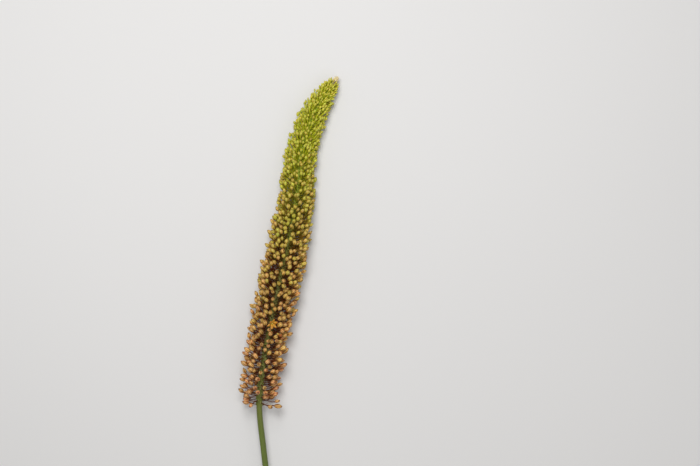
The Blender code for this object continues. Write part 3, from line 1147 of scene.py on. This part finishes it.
def tepalSkin():
    # Deep yellow, orange where it fades, with a brown-green rib
    material, tree, surface = newMaterial("tepalSkin", {
        "Roughness": 0.5, "Subsurface Weight": 0.15, "Subsurface Scale": 0.0015})
    marks = addGroup(tree, tepalMarks, {"Rib Width": 0.10, "Margin Width": 0.2})
    spots = addGroup(tree, mottle)
    fresh, faded = [ramp(tree, marks["Along"], floretColours[label]) for label in ("fresh", "faded")]
    colour = mixColours(tree, readAttribute(tree, "fade"), fresh, faded)
    colour = mixColours(tree, calculate(tree, "MULTIPLY", marks["Rib"], 0.8), colour, floretColours["rib"])
    colour = mixColours(tree, calculate(tree, "MULTIPLY", marks["Margin"], 0.4), colour,
                        floretColours["margin"])
    paint(tree, surface, colour, spread(tree, spots["Blotch"], 0.25, 0.75, 0.85, 1.1))
    addGrooves(tree, surface, marks["Across"], spots["Grain"], 8, 0.3, 0.00007)
    return material


def stamenSkin():
    # Pale filaments with rust-coloured pollen at their ends
    material, tree, surface = newMaterial("stamenSkin", {"Roughness": 0.7})
    grain = addGroup(tree, mottle)["Grain"]
    colour = ramp(tree, addGroup(tree, tepalMarks)["Along"], floretColours["stamen"])
    paint(tree, surface, colour, spread(tree, grain, 0.3, 0.7, 0.8, 1.15))
    addBump(tree, surface, grain, 0.0002)
    return material


def floretAxes(bud):
    facing = bud["facing"]
    across = (bud["along"] - facing * bud["along"].dot(facing)).normalized()
    return facing, across, facing.cross(across)


tepalForm = {
    "length": 0.0102,
    "halfWidths": (0.0021, 0.0026),  # outer and inner tepals
    "fadedWidth": 0.35,  # how much of it is lost by fading
    "start": 0.0005,  # from the floret's middle line
    "innerRise": 0.0003,  # inner tepals start above outer ones
    "wave": (0.10, 0.86),  # the stretch of half a sine wave that shapes it: its start and length
    "bluntness": 0.8,
    "opening": (0.35, 1.6),  # of its spread, what its foot has and what its length adds
    "thickness": 0.00022,
    "stations": 9,
    "turnRange": (-0.1, 0.1),
    "leanRange": (-0.15, 0.15),
    "curlRange": (0.6, 1.3),
    "seed": 4,
}


def addTepals(shape, uvLayer, bud, floret, chance):
    facing, across, other = floretAxes(bud)
    last = tepalForm["stations"] - 1
    waveStart, waveLength = tepalForm["wave"]
    footShare, opening = tepalForm["opening"]
    for k in range(tepalCount):
        inner = k % 2
        angle = math.tau * k / tepalCount + chance.uniform(*tepalForm["turnRange"])
        outward = swing(across, other, angle)
        edge = facing.cross(outward)
        lean = floret["spreads"][inner] + chance.uniform(*tepalForm["leanRange"])
        curl = floret["curls"][inner] * chance.uniform(*tepalForm["curlRange"])
        halfWidth = tepalForm["halfWidths"][inner] * (1 - tepalForm["fadedWidth"] * floret["fade"])
        place = bud["neck"] + outward * tepalForm["start"] + facing * (tepalForm["innerRise"] * inner)
        stations = []
        for i in range(last + 1):
            share = i / last
            tilt = lean * min(1.0, footShare + share * opening) + curl * share * share
            run = swing(facing, outward, tilt)
            wave = math.sin(math.pi * (waveStart + waveLength * share)) ** tepalForm["bluntness"]
            stations.append((place.copy(), edge, edge.cross(run), halfWidth * wave))
            place += run * (tepalForm["length"] / last)
        addBlade(shape, uvLayer, stations, tepalForm["thickness"], tepal=k)


stamenForm = {
    # How many sides, which part of a stamen's length it is coloured as, and its profile: share of its
    # own length, radius
    "filament": (6, (0.0, 0.7), ((0.0, 0.000286), (0.5, 0.00022), (1.0, 0.000176))),
    "anther": (8, (0.9, 1.0), ((0.0, 0.000165), (0.2, 0.0004675), (0.5, 0.00055), (0.8, 0.0004675),
                               (1.0, 0.000165))),
    "ovary": (12, (0.0, 0.1), ((0.0, 0.0007), (0.25, 0.00133), (0.55, 0.0014), (0.85, 0.00084),
                               (1.0, 0.000264))),
    "style": (6, (0.0, 0.75), ((0.0, 0.00022), (0.9, 0.000176), (0.95, 0.000396), (1.0, 0.000264))),
    "filamentLength": 0.0078,
    "filamentStart": 0.0007,  # from the floret's middle line
    "spread": 0.42,
    "fadedSpread": 0.6,  # how much of it is lost by fading
    "antherLength": 0.0017,
    "antherLean": 0.5,  # out from its filament
    "ovaryEnds": (-0.0004, 0.0034),  # along the floret, from its neck
    "styleEnds": (-0.0003, 0.0070),  # and from the ovary's top
    "uvAcross": 0.25,  # anywhere will do, as the skin reads only how far along a point lies
    "turnRange": (-0.2, 0.2),
    "tiltRange": (0.7, 1.3),
    "lengthRange": (0.85, 1.05),
    "seed": 5,
}


def addSpindle(shape, uvLayer, label, start, end):
    # A closed turned form between two points
    sides, (fromShare, toShare), profile = stamenForm[label]
    right, up = sidesOf((end - start).normalized())
    rings, spots = [], {}
    for share, radius in profile:
        centre = start + (end - start) * share
        spot = (stamenForm["uvAcross"], fromShare + (toShare - fromShare) * share)
        rings.append([shape.verts.new(centre + swing(right, up, math.tau * k / sides) * radius)
                      for k in range(sides)])
        spots.update(dict.fromkeys(rings[-1], spot))
    faces = joinRings(shape, rings) + closeEnds(shape, rings)
    for face in faces:
        face.smooth = True
    mapCorners(faces, uvLayer, spots)


def addStamens(shape, uvLayer, bud, floret, chance):
    facing, across, other = floretAxes(bud)
    tiltOut = stamenForm["spread"] * (1 - stamenForm["fadedSpread"] * floret["fade"])
    for k in range(tepalCount):
        angle = math.tau * (k + 0.5) / tepalCount + chance.uniform(*stamenForm["turnRange"])
        outward = swing(across, other, angle)
        run = swing(facing, outward, tiltOut * chance.uniform(*stamenForm["tiltRange"]))
        start = bud["neck"] + outward * stamenForm["filamentStart"]
        end = start + run * stamenForm["filamentLength"] * chance.uniform(*stamenForm["lengthRange"])
        half = (run + outward * stamenForm["antherLean"]).normalized() * stamenForm["antherLength"] / 2
        addSpindle(shape, uvLayer, "filament", start, end)
        addSpindle(shape, uvLayer, "anther", end - half, end + half)
    place = bud["neck"]
    for label in ("ovary", "style"):
        low, high = stamenForm[label + "Ends"]
        addSpindle(shape, uvLayer, label, place + facing * low, place + facing * high)
        place = place + facing * high


def makeFloretPart(name, addParts, seed, material):
    chance = random.Random(seed)
    shape, uvLayer = newShape()
    fadeLayer = shape.verts.layers.float.new("fade")
    for bud, floret in zip(florets, floretForms):
        before = len(shape.verts)
        addParts(shape, uvLayer, bud, floret, chance)
        shape.verts.ensure_lookup_table()
        for corner in shape.verts[before:]:
            corner[fadeLayer] = floret["fade"]
    bmesh.ops.recalc_face_normals(shape, faces=shape.faces)
    return addPiece(name, shape, material)


# Every piece goes on the part

stemMaterial = stemSkin()
stemPiece = makeStem(stemMaterial)
budPiece = makeBuds(closedBuds)
stalkPiece = makeStalks(buds)
cushionPiece = makeCushions(buds, stemMaterial)
bractPiece = makeBracts(buds)
tuftPiece = makeTuft()
tepalPiece = makeFloretPart("floretTepals", addTepals, tepalForm["seed"], tepalSkin())
stamenPiece = makeFloretPart("floretStamens", addStamens, stamenForm["seed"], stamenSkin())
print("pieces made")

slots = {
    stemPiece: "stem", stalkPiece: "stem", cushionPiece: "stem", budPiece: "spike",
    bractPiece: "dry_bract", tuftPiece: "dry_bract", tepalPiece: "open_floret", stamenPiece: "open_floret",
}
for piece, slot in slots.items():
    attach(piece, "root")
    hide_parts("flower_spike")


# Floor, light and camera

studio = {
    "floorSize": 8.0,
    "floorDrop": 0.0001,  # below the spike
    "floorColours": ((217, 216, 215), (221, 220, 219)),
    # Where each lamp is, how wide and how strong
    "lamps": {"keyLight": ((-0.15, 0.82, 1.75), 1.1, 29.5), "fillLight": ((0.9, -0.5, 1.4), 1.6, 3.0)},
    "lampAim": (0.0, 0.10, 0.0),
    "worldColour": (0.95, 0.94, 0.93),
    "worldStrength": 0.30,
    # The photograph's frame: the tip's pixel, its size and the scale at the spike
    "tipPixel": (337, 78),
    "imageSize": (700, 466),
    "metresPerPixel": 0.00145,
    "cameraHeight": 2.5,
    "sensorWidth": 36.0,
}


def addFloor():
    # A plain pale sheet
    material, tree, surface = newMaterial("floorSkin", {"Roughness": 0.9})
    place = addNode(tree, "ShaderNodeTexCoord")["Object"]
    colour = mixColours(tree, addNoise(tree, place, 1.5, 1.0), *studio["floorColours"])
    tree.links.new(colour, surface.inputs["Base Color"])
    shape = bmesh.new()
    bmesh.ops.create_grid(shape, x_segments=1, y_segments=1, size=studio["floorSize"] / 2)
    floor = addPiece("floor", shape, material)
    floor.location.z = -studio["floorDrop"]


def addLamp(name, place, size, power):
    lamp = bpy.data.lights.new(name, "AREA")
    lamp.shape = "DISK"
    lamp.size = size
    lamp.energy = power
    item = addObject(name, lamp)
    item.location = place
    item.rotation_euler = (Vector(studio["lampAim"]) - Vector(place)).to_track_quat("-Z", "Y").to_euler()
    item.visible_camera = False


def addWorld():
    world = bpy.data.worlds.new("paleStudio")
    world.use_nodes = True
    background = world.node_tree.nodes["Background"]
    background.inputs["Color"].default_value = (*studio["worldColour"], 1.0)
    background.inputs["Strength"].default_value = studio["worldStrength"]
    bpy.context.scene.world = world
    bpy.context.scene.view_settings.view_transform = "Standard"


def addCamera():
    # Straight down, with the spike's tip on the pixel that it has in the photograph
    data = bpy.data.cameras.new("photoCamera")
    item = addObject("photoCamera", data)
    scale = studio["metresPerPixel"]
    width, height = studio["imageSize"]
    across, down = studio["tipPixel"]
    tip = stemPoints[-1]
    item.location = (tip.x + (width / 2 - across) * scale, tip.y - (height / 2 - down) * scale,
                     studio["cameraHeight"])
    data.sensor_width = studio["sensorWidth"]
    data.lens = studio["sensorWidth"] * studio["cameraHeight"] / (width * scale)
    bpy.context.scene.camera = item


addFloor()
for name, lamp in studio["lamps"].items():
    addLamp(name, *lamp)
addWorld()
addCamera()
print("studio ready")
